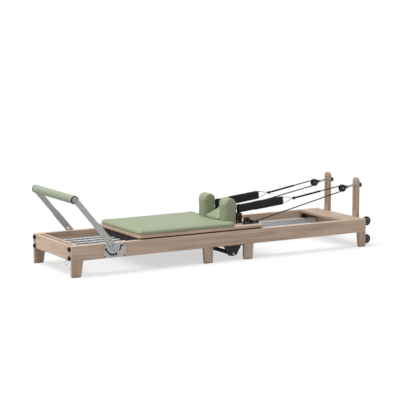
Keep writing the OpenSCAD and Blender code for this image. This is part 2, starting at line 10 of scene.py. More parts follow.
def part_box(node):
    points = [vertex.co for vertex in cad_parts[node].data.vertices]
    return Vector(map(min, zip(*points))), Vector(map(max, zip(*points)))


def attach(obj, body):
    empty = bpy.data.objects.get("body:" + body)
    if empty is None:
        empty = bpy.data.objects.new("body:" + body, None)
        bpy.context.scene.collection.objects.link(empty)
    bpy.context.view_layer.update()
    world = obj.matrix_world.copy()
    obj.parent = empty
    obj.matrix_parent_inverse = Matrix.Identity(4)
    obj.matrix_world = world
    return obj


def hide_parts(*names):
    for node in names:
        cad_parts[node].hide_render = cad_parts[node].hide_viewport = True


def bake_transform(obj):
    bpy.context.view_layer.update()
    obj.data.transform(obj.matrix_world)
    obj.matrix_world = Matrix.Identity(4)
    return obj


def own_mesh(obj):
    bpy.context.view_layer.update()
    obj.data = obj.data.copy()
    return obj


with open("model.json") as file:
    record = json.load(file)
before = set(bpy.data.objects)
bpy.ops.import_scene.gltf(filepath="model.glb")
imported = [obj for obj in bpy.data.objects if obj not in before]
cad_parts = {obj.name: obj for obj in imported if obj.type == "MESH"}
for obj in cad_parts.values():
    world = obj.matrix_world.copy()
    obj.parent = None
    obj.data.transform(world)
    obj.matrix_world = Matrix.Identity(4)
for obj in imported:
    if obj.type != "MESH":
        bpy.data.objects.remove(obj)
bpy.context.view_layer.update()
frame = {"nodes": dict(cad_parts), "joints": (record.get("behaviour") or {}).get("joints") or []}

MM = 0.001
TAU = 2 * math.pi
SMOOTH_LIMIT = math.radians(35)
BEVEL_LIMIT = math.radians(40)
SIDES = {"near": -1, "far": 1}
X_AXIS, Y_AXIS, Z_AXIS = Vector((1, 0, 0)), Vector((0, 1, 0)), Vector((0, 0, 1))
joints = {joint["name"]: joint for joint in frame["joints"]}


def place_of(joint):
    return Vector(joints[joint]["pos_m"])


# ---------------------------------------------------------------- materials


def rgb(red, green, blue):
    """Linear colour from the 0 to 255 values seen on a screen"""
    seen = [value / 255 for value in (red, green, blue)]
    linear = [v / 12.92 if v <= 0.04045 else ((v + 0.055) / 1.055) ** 2.4 for v in seen]
    return (*linear, 1.0)


class Look:
    """One procedural material, with short calls for the nodes that the materials share"""

    def __init__(self, name, colour, roughness, metallic=0.0):
        self.material = bpy.data.materials.new(name)
        self.material.use_nodes = True
        self.material.diffuse_color = colour
        self.tree = self.material.node_tree
        self.shader = self.tree.nodes["Principled BSDF"]
        self.shader.inputs["Base Color"].default_value = colour
        self.shader.inputs["Roughness"].default_value = roughness
        self.shader.inputs["Metallic"].default_value = metallic
        self.place = self.tree.nodes.new("ShaderNodeTexCoord").outputs["Object"]
        self.normal = None

    def node(self, kind, inputs=None, **settings):
        made = self.tree.nodes.new(kind)
        for key, value in settings.items():
            setattr(made, key, value)
        for key, value in (inputs or {}).items():
            if isinstance(value, bpy.types.NodeSocket):
                self.tree.links.new(value, made.inputs[key])
            else:
                made.inputs[key].default_value = value
        return made

    def stretched(self, scale, turn=(0, 0, 0)):
        """The piece's own coordinates, scaled along each axis"""
        inputs = {"Vector": self.place, "Scale": scale, "Rotation": turn}
        return self.node("ShaderNodeMapping", inputs).outputs[0]

    def noise(self, where, scale, detail=4.0, distortion=0.0):
        inputs = {"Vector": where, "Scale": scale, "Detail": detail, "Distortion": distortion}
        return self.node("ShaderNodeTexNoise", inputs).outputs["Fac"]

    def cells(self, where, scale, feature="F1"):
        inputs = {"Vector": where, "Scale": scale}
        return self.node("ShaderNodeTexVoronoi", inputs, feature=feature).outputs["Distance"]

    def waves(self, where, scale, direction, distortion=0.0):
        inputs = {"Vector": where, "Scale": scale, "Distortion": distortion}
        settings = {"wave_type": "BANDS", "bands_direction": direction}
        return self.node("ShaderNodeTexWave", inputs, **settings).outputs["Fac"]

    def ramp(self, factor, stops):
        made = self.node("ShaderNodeValToRGB", {"Fac": factor})
        while len(made.color_ramp.elements) < len(stops):
            made.color_ramp.elements.new(0.5)
        for element, (position, colour) in zip(made.color_ramp.elements, stops):
            element.position = position
            element.color = colour
        return made.outputs["Color"]

    def mix(self, factor, first, second, blend="MIX"):
        made = self.node("ShaderNodeMix", data_type="RGBA", blend_type=blend)
        for index, value in ((0, factor), (6, first), (7, second)):
            if isinstance(value, bpy.types.NodeSocket):
                self.tree.links.new(value, made.inputs[index])
            else:
                made.inputs[index].default_value = value
        return made.outputs[2]

    def spread(self, factor, low, high):
        inputs = {"Value": factor, "To Min": low, "To Max": high}
        return self.node("ShaderNodeMapRange", inputs).outputs["Result"]

    def multiply(self, first, second):
        made = self.node("ShaderNodeMath", {0: first, 1: second}, operation="MULTIPLY")
        return made.outputs[0]

    def bump(self, height, depth, strength=1.0):
        inputs = {"Height": height, "Distance": depth, "Strength": strength}
        if self.normal:
            inputs["Normal"] = self.normal
        self.normal = self.node("ShaderNodeBump", inputs).outputs["Normal"]
        self.tree.links.new(self.normal, self.shader.inputs["Normal"])

    def set(self, socket, value):
        if isinstance(value, bpy.types.NodeSocket):
            self.tree.links.new(value, self.shader.inputs[socket])
        else:
            self.shader.inputs[socket].default_value = value


def wood(name, axis, light, dark):
    """Pale oak under matt lacquer, its grain along axis (0 for X, 1 for Y, 2 for Z)"""
    look = Look(name, light, 0.5)

    def grain(along, across):
        return look.stretched([along if k == axis else across for k in range(3)])

    growth = look.noise(grain(0.7, 9.0), 3.0, 5.0, 0.9)
    rings = look.waves(grain(0.5, 10.0), 2.2, "Y" if axis != 1 else "X", 9.0)
    tone = look.mix(0.45, look.ramp(growth, [(0.3, dark), (0.68, light)]),
                    look.ramp(rings, [(0.1, dark), (0.75, light)]))
    fibres = look.noise(grain(7.0, 320.0), 1.0, 5.0)
    pores = look.noise(grain(45.0, 900.0), 1.0, 2.0)
    shade = look.ramp(fibres, [(0.32, rgb(205, 196, 186)), (0.62, rgb(255, 255, 255))])
    tone = look.mix(0.55, tone, shade, "MULTIPLY")
    specks = look.ramp(pores, [(0.60, rgb(255, 255, 255)), (0.70, rgb(176, 158, 140))])
    look.set("Base Color", look.mix(0.5, tone, specks, "MULTIPLY"))
    look.set("Roughness", look.spread(fibres, 0.42, 0.60))
    look.bump(pores, 0.00015, 0.25)
    look.bump(fibres, 0.0003, 0.22)
    return look.material


def leather(name, colour, deep):
    """Artificial leather: small soft pebbles, faint creases, satin sheen"""
    look = Look(name, colour, 0.45)
    cloud = look.noise(look.place, 7.0, 3.0)
    look.set("Base Color", look.mix(look.spread(cloud, 0.0, 0.5), colour, deep))
    pebbles = look.cells(look.place, 900.0, "SMOOTH_F1")
    creases = look.noise(look.place, 160.0, 6.0, 0.6)
    look.set("Roughness", look.spread(creases, 0.36, 0.56))
    look.set("Specular IOR Level", 0.45)
    look.set("Sheen Weight", 0.08)
    look.bump(creases, 0.0003, 0.10)
    look.bump(pebbles, 0.00025, 0.35)
    return look.material


def metal(name, colour, roughness, axis=None, dull=0.0):
    """Metal with a fine finish: brushed along axis when it is given, otherwise a plated skin"""
    look = Look(name, colour, roughness, 1.0)
    if axis is None:
        lines = look.noise(look.place, 380.0, 5.0)
    else:
        lines = look.noise(look.stretched([9.0 if k == axis else 700.0 for k in range(3)]), 1.0, 4.0)
    smear = look.noise(look.place, 22.0, 3.0)
    darker = tuple(0.72 * value for value in colour[:3]) + (1.0,)
    look.set("Base Color", look.mix(look.spread(smear, 0.0, 0.45), colour, darker))
    look.set("Roughness", look.spread(lines, roughness - 0.08, roughness + 0.12))
    look.set("Metallic", 1.0 - dull)
    look.bump(lines, 0.0001, 0.25)
    return look.material


def coated(name, colour, roughness, scale, depth, wear=None):
    """Paint, plastic or rubber: an even colour over a fine orange-peel or grained skin"""
    look = Look(name, colour, roughness)
    skin = look.noise(look.place, scale, 4.0)
    smear = look.noise(look.place, 14.0, 3.0)
    lighter = tuple(min(1.0, 1.5 * value + 0.004) for value in colour[:3]) + (1.0,)
    tone = look.mix(look.spread(smear, 0.0, 0.6), colour, lighter)
    if wear:
        edge = look.node("ShaderNodeNewGeometry").outputs["Pointiness"]
        rubbed = look.ramp(edge, [(0.52, (0, 0, 0, 1)), (0.60, (1, 1, 1, 1))])
        patch = look.multiply(rubbed, look.noise(look.place, 120.0, 5.0))
        tone = look.mix(look.spread(patch, 0.0, 0.5), tone, wear)
    look.set("Base Color", tone)
    look.set("Roughness", look.spread(skin, roughness - 0.06, roughness + 0.10))
    look.bump(skin, depth, 0.4)
    return look.material


def woven(name, colour, scale, sheen):
    """Black textile: crossing yarns of the given count to the metre over a fuzzy ground"""
    look = Look(name, colour, 0.85)
    turned = look.stretched((1, 1, 1), (0, math.radians(45), 0))
    yarns = look.multiply(look.waves(turned, scale, "X"), look.waves(turned, scale, "Z"))
    fuzz = look.noise(look.place, 700.0, 4.0)
    lighter = tuple(2.6 * value + 0.004 for value in colour[:3]) + (1.0,)
    look.set("Base Color", look.mix(yarns, colour, lighter))
    look.set("Roughness", look.spread(fuzz, 0.7, 0.95))
    look.set("Sheen Weight", sheen)
    look.bump(fuzz, 0.0003, 0.4)
    look.bump(yarns, 0.0004, 0.6)
    return look.material


# The four oaks are one wood. The rail and end-piece oaks are painted lighter and the platform oak is painted
# darker than the leg oak, standing in for how the light falls on those faces. Each keeps its own grain axis.
oak_x_painted_light = wood("oak_along_x_painted_light", 0, rgb(226, 202, 182), rgb(194, 166, 145))
oak_y_painted_light = wood("oak_along_y_painted_light", 1, rgb(236, 213, 193), rgb(208, 181, 159))
oak_z = wood("oak_along_z", 2, rgb(216, 192, 172), rgb(184, 156, 135))
oak_platform_painted_shade = wood("oak_platform_painted_shade", 1, rgb(200, 178, 159), rgb(168, 144, 124))
sage = leather("sage_leather", rgb(152, 161, 132), rgb(141, 151, 119))
sage_foam = leather("sage_grip", rgb(160, 169, 145), rgb(148, 159, 131))
sage_thread = coated("sage_thread", rgb(176, 186, 160), 0.6, 900.0, 0.0002)
alloy = metal("brushed_alloy", rgb(226, 227, 229), 0.42, 0, 0.55)
arm_alloy = metal("arm_alloy", rgb(203, 203, 203), 0.42, None, 0.55)
zinc = metal("zinc_plate", rgb(205, 205, 203), 0.34)
spring_steel = metal("spring_steel", rgb(188, 188, 190), 0.28)
black_steel = coated("black_powder_coat", rgb(16, 16, 17), 0.42, 900.0, 0.00012, rgb(90, 90, 92))
black_plastic = coated("black_plastic", rgb(14, 14, 15), 0.38, 1400.0, 0.0001)
black_rubber = coated("black_rubber", rgb(14, 14, 14), 0.72, 700.0, 0.0002)
hub_grey = coated("hub_grey", rgb(118, 118, 118), 0.5, 900.0, 0.0001)
rope_black = woven("rope_black", rgb(9, 9, 10), 300.0, 0.06)
webbing_black = woven("webbing_black", rgb(10, 10, 11), 260.0, 0.08)
fleece_black = woven("fleece_black", rgb(8, 8, 9), 120.0, 0.12)

# ---------------------------------------------------------------- meshes and pieces


def smooth_by_angle():
    """Node group that shades every edge smooth up to SMOOTH_LIMIT and sharp beyond"""
    group = bpy.data.node_groups.new("smooth_by_angle", "GeometryNodeTree")
    group.interface.new_socket("Geometry", in_out="INPUT", socket_type="NodeSocketGeometry")
    group.interface.new_socket("Geometry", in_out="OUTPUT", socket_type="NodeSocketGeometry")
    nodes, links = group.nodes, group.links
    first, last = nodes.new("NodeGroupInput"), nodes.new("NodeGroupOutput")
    faces, edges = (nodes.new("GeometryNodeSetShadeSmooth") for _ in range(2))
    faces.domain, edges.domain = "FACE", "EDGE"
    faces.inputs["Shade Smooth"].default_value = True
    angle = nodes.new("GeometryNodeInputMeshEdgeAngle")
    limit = nodes.new("FunctionNodeCompare")
    limit.operation = "LESS_EQUAL"
    limit.inputs[1].default_value = SMOOTH_LIMIT
    links.new(angle.outputs["Unsigned Angle"], limit.inputs[0])
    links.new(limit.outputs[0], edges.inputs["Shade Smooth"])
    links.new(first.outputs[0], faces.inputs["Geometry"])
    links.new(faces.outputs[0], edges.inputs["Geometry"])
    links.new(edges.outputs[0], last.inputs[0])
    return group


angle_shading = smooth_by_angle()


def shade(obj):
    shading = obj.modifiers.new("Shading", "NODES")
    shading.node_group = angle_shading
    normals = obj.modifiers.new("Normals", "WEIGHTED_NORMAL")
    normals.keep_sharp = True


def finish_node(name, material, bevel, segments):
    """Gives a CAD node its material, softened edges and clean shading"""
    obj = frame["nodes"][name]
    mesh = obj.data
    mesh.materials.clear()
    mesh.materials.append(material)
    if "custom_normal" in mesh.attributes:
        mesh.attributes.remove(mesh.attributes["custom_normal"])
    weld = obj.modifiers.new("Weld", "WELD")
    weld.merge_threshold = 0.002 * MM
    flat = obj.modifiers.new("Flat", "DECIMATE")
    flat.decimate_type = "DISSOLVE"
    flat.angle_limit = math.radians(0.4)
    flat.delimit = {"MATERIAL"}
    add_bevel(obj, bevel * MM, segments)


def piece(name, points, faces, material, slot):
    """A new mesh object from points in metres"""
    mesh = bpy.data.meshes.new(name)
    mesh.from_pydata([tuple(p) for p in points], [], faces)
    work = bmesh.new()
    work.from_mesh(mesh)
    bmesh.ops.recalc_face_normals(work, faces=work.faces)
    work.to_mesh(mesh)
    work.free()
    mesh.materials.append(material)
    mesh.polygons.foreach_set("use_smooth", [True] * len(mesh.polygons))
    obj = bpy.data.objects.new(name, mesh)
    bpy.context.scene.collection.objects.link(obj)
    return obj


def loft(rings, closed=False):
    """Points and faces through rings of equal count, capped at both ends unless it closes"""
    count, points, faces = len(rings[0]), [], []
    for ring in rings:
        points += ring
    last = len(rings) if closed else len(rings) - 1
    for i in range(last):
        low, high = i * count, (i + 1) % len(rings) * count
        for k in range(count):
            nxt = (k + 1) % count
            faces.append((low + k, low + nxt, high + nxt, high + k))
    if not closed:
        faces += [tuple(range(count)), tuple(range(len(points) - count, len(points)))]
    return points, faces


def sweep(path, side, section, closed=False):
    """Lofts section(i, share) along path: (a, b) pairs along side, which is carried along the path, and
    along the path's other normal"""
    rings = []
    for i, p in enumerate(path):
        if closed:
            ahead, behind = path[(i + 1) % len(path)], path[i - 1]
        else:
            ahead, behind = path[min(i + 1, len(path) - 1)], path[max(i - 1, 0)]
        along = (ahead - behind).normalized()
        across = (side - side.dot(along) * along).normalized()
        side = across
        up = along.cross(across)
        rings.append([p + a * across + b * up for a, b in section(i, i / (len(path) - 1))])
    return loft(rings, closed)


def circle(radius, count):
    return [(radius * math.cos(TAU * k / count), radius * math.sin(TAU * k / count)) for k in range(count)]


def rounded_box(half_a, half_b, radius, steps=3):
    """Outline of a rectangle with round corners, as (a, b) pairs"""
    points = []
    for turn, (sa, sb) in enumerate(((1, 1), (-1, 1), (-1, -1), (1, -1))):
        for k in range(steps + 1):
            angle = math.radians(90 * turn + 90 * k / steps)
            points.append((sa * (half_a - radius) + radius * math.cos(angle),
                           sb * (half_b - radius) + radius * math.sin(angle)))
    return points


def lathe(profile, centre, axis, count=48):
    """Closed (radius, along) profile turned about axis through centre"""
    axis = axis.normalized()
    first = axis.orthogonal().normalized()
    second = axis.cross(first)
    rings = []
    for k in range(count):
        angle = TAU * k / count
        out = math.cos(angle) * first + math.sin(angle) * second
        rings.append([centre + r * out + a * axis for r, a in profile])
    return loft(rings, closed=True)


def merge(*shapes):
    """One set of points and faces from several"""
    points, faces = [], []
    for more_points, more_faces in shapes:
        start = len(points)
        points += more_points
        faces += [tuple(start + k for k in face) for face in more_faces]
    return points, faces


def line(start, end, count):
    return [start.lerp(end, k / (count - 1)) for k in range(count)]


def add_bevel(obj, width, segments=2):
    edge = obj.modifiers.new("Edges", "BEVEL")
    edge.width = width
    edge.segments = segments
    edge.limit_method = "ANGLE"
    edge.angle_limit = BEVEL_LIMIT
    shade(obj)


def bake(obj):
    """Replaces the object's mesh with what its modifiers make of it"""
    bpy.context.view_layer.update()
    seen = obj.evaluated_get(bpy.context.evaluated_depsgraph_get())
    made = bpy.data.meshes.new_from_object(seen)
    obj.modifiers.clear()
    obj.data = made
    made.polygons.foreach_set("use_smooth", [True] * len(made.polygons))


# ---------------------------------------------------------------- upholstery

CUSHION_PRESSURE = 4.0
CLOTH_FRAMES = 20


def plump(obj, voxel, cap, hold):
    """Fills a closed cover like a cushion: remesh, cloth under pressure, each point kept within cap.
    Points for which hold(point) is true stay where they are."""
    remesh = obj.modifiers.new("Remesh", "REMESH")
    remesh.mode = "VOXEL"
    remesh.voxel_size = voxel
    smooth = obj.modifiers.new("Even", "SMOOTH")
    smooth.factor = 0.5
    smooth.iterations = 6
    bake(obj)
    start = [v.co.copy() for v in obj.data.vertices]
    cloth = obj.modifiers.new("Cloth", "CLOTH")
    settings = cloth.settings
    settings.quality = 4
    settings.mass = 0.2
    settings.tension_stiffness = 18
    settings.compression_stiffness = 18
    settings.bending_stiffness = 1.0
    settings.use_pressure = True
    settings.uniform_pressure_force = CUSHION_PRESSURE
    settings.effector_weights.gravity = 0
    pinned = obj.vertex_groups.new(name="held")
    pinned.add([i for i, p in enumerate(start) if hold(p)], 1.0, "REPLACE")
    settings.vertex_group_mass = "held"
    for step in range(1, CLOTH_FRAMES + 1):
        bpy.context.scene.frame_set(step)
    seen = obj.evaluated_get(bpy.context.evaluated_depsgraph_get())
    swollen = [v.co.copy() for v in seen.data.vertices]
    obj.modifiers.clear()
    for vertex, before, after in zip(obj.data.vertices, start, swollen):
        moved = after - before
        if moved.length > cap:
            moved *= cap / moved.length
        vertex.co = before + moved
    bpy.context.scene.frame_set(1)
    smooth = obj.modifiers.new("Even", "SMOOTH")
    smooth.factor = 0.5
    smooth.iterations = 3
    finer = obj.modifiers.new("Finer", "SUBSURF")
    finer.levels = finer.render_levels = 1
    bake(obj)


def slab_loop(low, high, radii, inset, z, steps=7):
    """One level of a slab seen from above: a rectangle with its own radius at each end, moved in by inset"""
    points = []
    corners = ((high.x, high.y, 0, radii[1]), (low.x, high.y, 90, radii[0]),
               (low.x, low.y, 180, radii[0]), (high.x, low.y, 270, radii[1]))
    for x, y, turn, radius in corners:
        radius = max(radius - inset, 2 * MM)
        reach = inset + radius
        centre_x = x - math.copysign(reach, x - (low.x + high.x) / 2)
        centre_y = y - math.copysign(reach, y - (low.y + high.y) / 2)
        for k in range(steps + 1):
            angle = math.radians(turn + 90 * k / steps)
            points.append(Vector((centre_x + radius * math.cos(angle),
                                  centre_y + radius * math.sin(angle), z)))
    return points


def padded_slab(low, high, radii, edge, crown):
    """Closed cover of a flat pad: flat under, round top edge, top rising by crown to the middle"""
    levels = [(5 * MM, low.z), (1 * MM, low.z + 1.5 * MM), (0, low.z + 6 * MM)]
    top = high.z
    for k in range(7):
        angle = math.radians(90 * k / 6)
        levels.append((edge * (1 - math.cos(angle)), top - edge + edge * math.sin(angle)))
    reach = min(high.x - low.x, high.y - low.y) / 2 * 0.8
    for k in range(1, 9):
        share = k / 8
        levels.append((edge + (reach - edge) * share, top + crown * math.sin(math.pi / 2 * share)))
    return loft([slab_loop(low, high, radii, inset, z) for inset, z in levels])


def seat_pad():
    """Long pad that stops short of the headrest, with an ear on each side that runs along the rest"""
    low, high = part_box("carriage_pad")
    edge = 15 * MM
    inside = Vector((0.5 * MM, 0.5 * MM, 0))
    low, high = low + inside, high - inside - Vector((0, 0, 3 * MM))
    notch_x = place_of("headrest_tilt").x - 21.5 * MM
    rest_low, rest_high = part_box("far_shoulder_rest")
    overlap = 90 * MM
    shapes = [padded_slab(low, Vector((notch_x, high.y, high.z)), (34 * MM, 10 * MM), edge, 3 * MM)]
    for inner, end, corner in ((rest_low.y + 1 * MM, rest_low.x - 2 * MM, 8 * MM),
                               (rest_high.y + 2 * MM, high.x, 34 * MM)):
        for sign in SIDES.values():
            near_y, far_y = sorted((sign * inner, sign * high.y))
            first, last = Vector((notch_x - overlap, near_y, low.z)), Vector((end, far_y, high.z))
            shapes.append(padded_slab(first, last, (8 * MM, corner), edge, 0.5 * MM))
    pad = piece("seat_pad", *merge(*shapes), sage, "sage_leather")
    plump(pad, 6 * MM, 4 * MM, lambda p: p.z < low.z + 3 * MM)
    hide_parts("carriage_pad")
    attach(pad, "carriage")


def arch_loop(centre_x, half, spring_z, floor_z, inset, y, count=14):
    """Outline of the arch seen from the side, moved in by inset"""
    radius = half - inset
    waist_z = (floor_z + spring_z) / 2
    points = [Vector((centre_x + radius, y, floor_z)), Vector((centre_x + radius, y, waist_z))]
    for k in range(count + 1):
        angle = math.pi * k / count
        points.append(Vector((centre_x + radius * math.cos(angle), y, spring_z + radius * math.sin(angle))))
    points += [Vector((centre_x - radius, y, waist_z)), Vector((centre_x - radius, y, floor_z))]
    return points


def shoulder_rest(side):
    """Arch-shaped pad with piping where the front strip meets each side panel"""
    node = f"{side}_shoulder_rest"
    low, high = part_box(node)
    middle = (low.x + high.x) / 2
    half = (high.x - low.x) / 2 - 1.5 * MM
    spring_z = high.z - half - 1.5 * MM
    edge = 10 * MM
    levels = []
    for k in range(5):
        angle = math.radians(90 * k / 4)
        levels.append((edge * (1 - math.sin(angle)), low.y + 1.5 * MM + edge * (1 - math.cos(angle))))
    width = low.y + high.y
    levels += [(inset, width - y) for inset, y in reversed(levels)]
    rings = [arch_loop(middle, half, spring_z, low.z, inset, y) for inset, y in levels]
    pad = piece(f"{side}_shoulder_pad", *loft(rings), sage, "sage_leather")
    plump(pad, 4 * MM, 3.5 * MM, lambda p: p.z < low.z + 4 * MM)
    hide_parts(node)
    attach(pad, "carriage")
    skin = BVHTree.FromObject(pad, bpy.context.evaluated_depsgraph_get())
    for name, y in (("inner", low.y + 3 * MM), ("outer", high.y - 3 * MM)):
        seam = arch_loop(middle, half - 3 * MM, spring_z, low.z + 3 * MM, 0, y, 40)
        path = [skin.find_nearest(p)[0] for p in seam]
        cord = sweep(path, Y_AXIS, lambda i, t: circle(1.7 * MM, 8))
        welt = piece(f"{side}_shoulder_piping_{name}", *cord, sage_thread, "sage_leather")
        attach(welt, "carriage")


def headrest_pillow():
    """Small crowned pillow, built level and then tilted about the hinge as the headrest stands"""
    hinge = place_of("headrest_tilt")
    tilt = Matrix.Rotation(-math.radians(-joints["headrest_tilt"]["range_deg"][0]), 4, "Y")
    corners = [v.co for v in frame["nodes"]["headrest_pad"].data.vertices]
    level = [tilt.inverted() @ (p - hinge) for p in corners]
    low = Vector([min(p[k] for p in level) for k in range(3)])
    high = Vector([max(p[k] for p in level) for k in range(3)])
    inside = Vector((2 * MM, 2 * MM, 0))
    top = Vector((0, 0, 8 * MM))
    shape = padded_slab(low + inside, high - inside - top, (14 * MM, 14 * MM), 9 * MM, 10 * MM)
    pad = piece("headrest_pillow", *shape, sage, "sage_leather")
    plump(pad, 4 * MM, 4 * MM, lambda p: p.z < low.z + 2 * MM)
    pad.data.transform(Matrix.Translation(hinge) @ tilt)
    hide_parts("headrest_pad")
    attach(pad, "headrest")


def bar_grip():
    """Foam sleeve in a leather cover, closed by a stitched seam along its underside"""
    low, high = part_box("footbar_grip")
    centre = Vector(((low.x + high.x) / 2, 0, (low.z + high.z) / 2))
    radius = (high.x - low.x) / 2
    half = (high.y - low.y) / 2
    bore = 12.6 * MM
    count, around = 150, 64
    down = math.radians(250)
    rings = []
    for i in range(count + 1):
        y = -half + 2 * half * i / count
        end = min(half - abs(y), 4 * MM) / (4 * MM)
        shrink = 2.5 * MM * (1 - math.sqrt(1 - (1 - end) ** 2))
        ring = []
        for k in range(around):
            angle = TAU * k / around
            away = abs((angle - down + math.pi) % TAU - math.pi) * radius
            groove = 1.1 * MM * math.exp(-(away / (1.6 * MM)) ** 2)
            swell = 0.25 * MM * noise.noise(Vector((3 * math.cos(angle), 3 * math.sin(angle), 40 * y)))
            r = radius - shrink - groove + swell
            ring.append(centre + Vector((r * math.cos(angle), y, r * math.sin(angle))))
        rings.append(ring)
    inner = [[centre + Vector((bore * math.cos(TAU * k / around), y, bore * math.sin(TAU * k / around)))
              for k in range(around)] for y in (half, -half)]
    grip = piece("bar_grip", *loft(rings + inner, closed=True), sage_foam, "sage_leather")
    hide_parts("footbar_grip")
    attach(grip, "footbar")
    stitches = []
    spacing = 7 * MM
    for i in range(int(2 * half / spacing) - 2):
        y = -half + (i + 1.5) * spacing
        for turn in (-1, 1):
            angle = down + turn * 3.4 * MM / radius
            out = Vector((math.cos(angle), 0, math.sin(angle)))
            start = centre + Vector((0, y, 0)) + (radius - 0.2 * MM) * out
            path = line(start, start + Vector((0, 4.6 * MM, 0)), 3)
            stitches.append(sweep(path, out, lambda i, t: circle(0.55 * MM, 6)))
    thread = piece("bar_grip_stitches", *merge(*stitches), sage_thread, "sage_leather")
    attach(thread, "footbar")


# ---------------------------------------------------------------- springs


def coil_springs():
    """Close-wound tension springs with a hook at each end, stretching between frame and carriage"""
    low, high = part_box("springs")
    wire = 1.5 * MM
    outer = (high.z - low.z) / 2
    coil = outer - wire
    lanes = 5
    first, last = low.y + outer, high.y - outer
    z = (low.z + high.z) / 2
    hook = 16 * MM
    bend = 6 * MM
    turns = int((high.x - low.x - 2 * hook) / (3.6 * MM))
    steps = 12
    for lane in range(lanes):
        y = first + (last - first) * lane / (lanes - 1)
        path = []
        start, end = low.x + hook, high.x - hook
        for k in range(10):
            angle = math.radians(200 - 155 * k / 9)
            path.append(Vector((low.x + bend - bend * math.sin(angle), y, z + bend * math.cos(angle))))
        for k in range(turns * steps + 1):
            angle = TAU * k / steps + math.pi / 2
            x = start + (end - start) * k / (turns * steps)
            path.append(Vector((x, y + coil * math.cos(angle), z + coil * math.sin(angle))))
        for k in range(10):
            angle = math.radians(45 + 155 * k / 9)
            path.append(Vector((high.x - bend + bend * math.sin(angle), y, z + bend * math.cos(angle))))
        shape = sweep(path, Vector((1, 0.01, 0)), lambda i, t: circle(wire, 6))
        coil_piece = piece(f"coil_spring_{lane + 1}", *shape, spring_steel, "zinc_steel")
        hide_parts("springs")
        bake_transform(coil_piece)


# ---------------------------------------------------------------- ropes and hand loops

ROPE = 4 * MM


def tangent(start, sheave, pitch, low):
    """Where a straight rope from start touches the sheave, on its low or its high side"""
    away = Vector((sheave.x - start.x, 0, sheave.z - start.z))
    slope = math.atan2(away.z, away.x) + (-1 if low else 1) * math.asin(pitch / away.length)
    run = math.sqrt(away.length ** 2 - pitch ** 2)
    return Vector((start.x + run * math.cos(slope), sheave.y, start.z + run * math.sin(slope)))


def braid(radius, strands=6, lay=26 * MM):
    """Cross-section of a braided rope: two opposite helices press ridges into the circle"""

    def section(i, t, step=2 * MM):
        ridge = []
        for k in range(14):
            angle = TAU * k / 14
            turn = TAU * i * step / lay
            lift = math.cos(strands / 2 * (angle + turn)) * math.cos(strands / 2 * (angle - turn))
            r = radius * (1 + 0.06 * lift)
            ridge.append((r * math.cos(angle), r * math.sin(angle)))
        return ridge

    return section


def rope_piece(name, path_ends, side_vector, radius):
    start, end = path_ends
    count = max(4, int((end - start).length / (2 * MM)))
    return piece(name, *sweep(line(start, end, count), side_vector, braid(radius)), rope_black, "webbing")


def ropes(side):
    """Lower rope, the turn round the sheave, and the upper rope down to the hand loop"""
    sheave = place_of(f"{side}_sheave_spin")
    cleat_end = place_of(f"{side}_lower_rope_follow")
    peg = place_of(f"{side}_upper_rope_follow")
    pitch = 20 * MM
    low_touch = tangent(cleat_end, sheave, pitch, True)
    lower = rope_piece(f"{side}_lower_rope", (cleat_end - Vector((14 * MM, 0, 0)), low_touch), Y_AXIS, ROPE)
    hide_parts(f"{side}_rope")
    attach(lower, f"{side}_lower_rope")
    reach = low_touch.x - cleat_end.x
    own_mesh(lower)

    reach = sheave.x - peg.x
    drift = (sheave.y - peg.y) / reach
    ring_run = 455 * MM
    ring = Vector((peg.x + ring_run, peg.y + drift * ring_run, peg.z + 44 * MM))
    high_touch = tangent(ring, sheave, pitch, False)

    angle_low = math.atan2(low_touch.z - sheave.z, low_touch.x - sheave.x)
    angle_high = math.atan2(high_touch.z - sheave.z, high_touch.x - sheave.x)
    arc = []
    for k in range(41):
        angle = angle_low + (angle_high - angle_low) * k / 40
        arc.append(sheave + pitch * Vector((math.cos(angle), 0, math.sin(angle))))
    wrap = piece(f"{side}_rope_wrap", *sweep(arc, Y_AXIS, braid(ROPE)), rope_black, "webbing")
    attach(wrap, f"{side}_block")

    def soft(obj):
        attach(obj, f"{side}_upper_rope")
        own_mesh(obj)

    upper = rope_piece(f"{side}_upper_rope", (ring, high_touch), Y_AXIS, ROPE)
    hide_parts(f"{side}_strap")
    soft(upper)
    along = (high_touch - ring).normalized()
    cover_end = ring + 232 * MM * along

    def cover_section(i, t):
        ends = min(1.0, min(t, 1 - t) * 14)
        radius = (4.6 + 2.2 * math.sin(math.pi / 2 * ends)) * MM
        return circle(radius * (1 + 0.02 * math.sin(i * 2.1)), 14)

    path = line(ring + 12 * MM * along, cover_end, 70)
    soft(piece(f"{side}_rope_cover", *sweep(path, Y_AXIS, cover_section), webbing_black, "webbing"))

    knot = [(0.5, -13), (5, -12.5), (9, -9), (10.5, -3), (10.5, 3), (9, 9), (5, 12.5), (0.5, 13)]
    profile = [(r * MM, a * MM) for r, a in knot]
    soft(piece(f"{side}_swivel", *lathe(profile, ring, along, 24), black_plastic, "webbing"))
    hand_loop(side, peg, ring, soft)


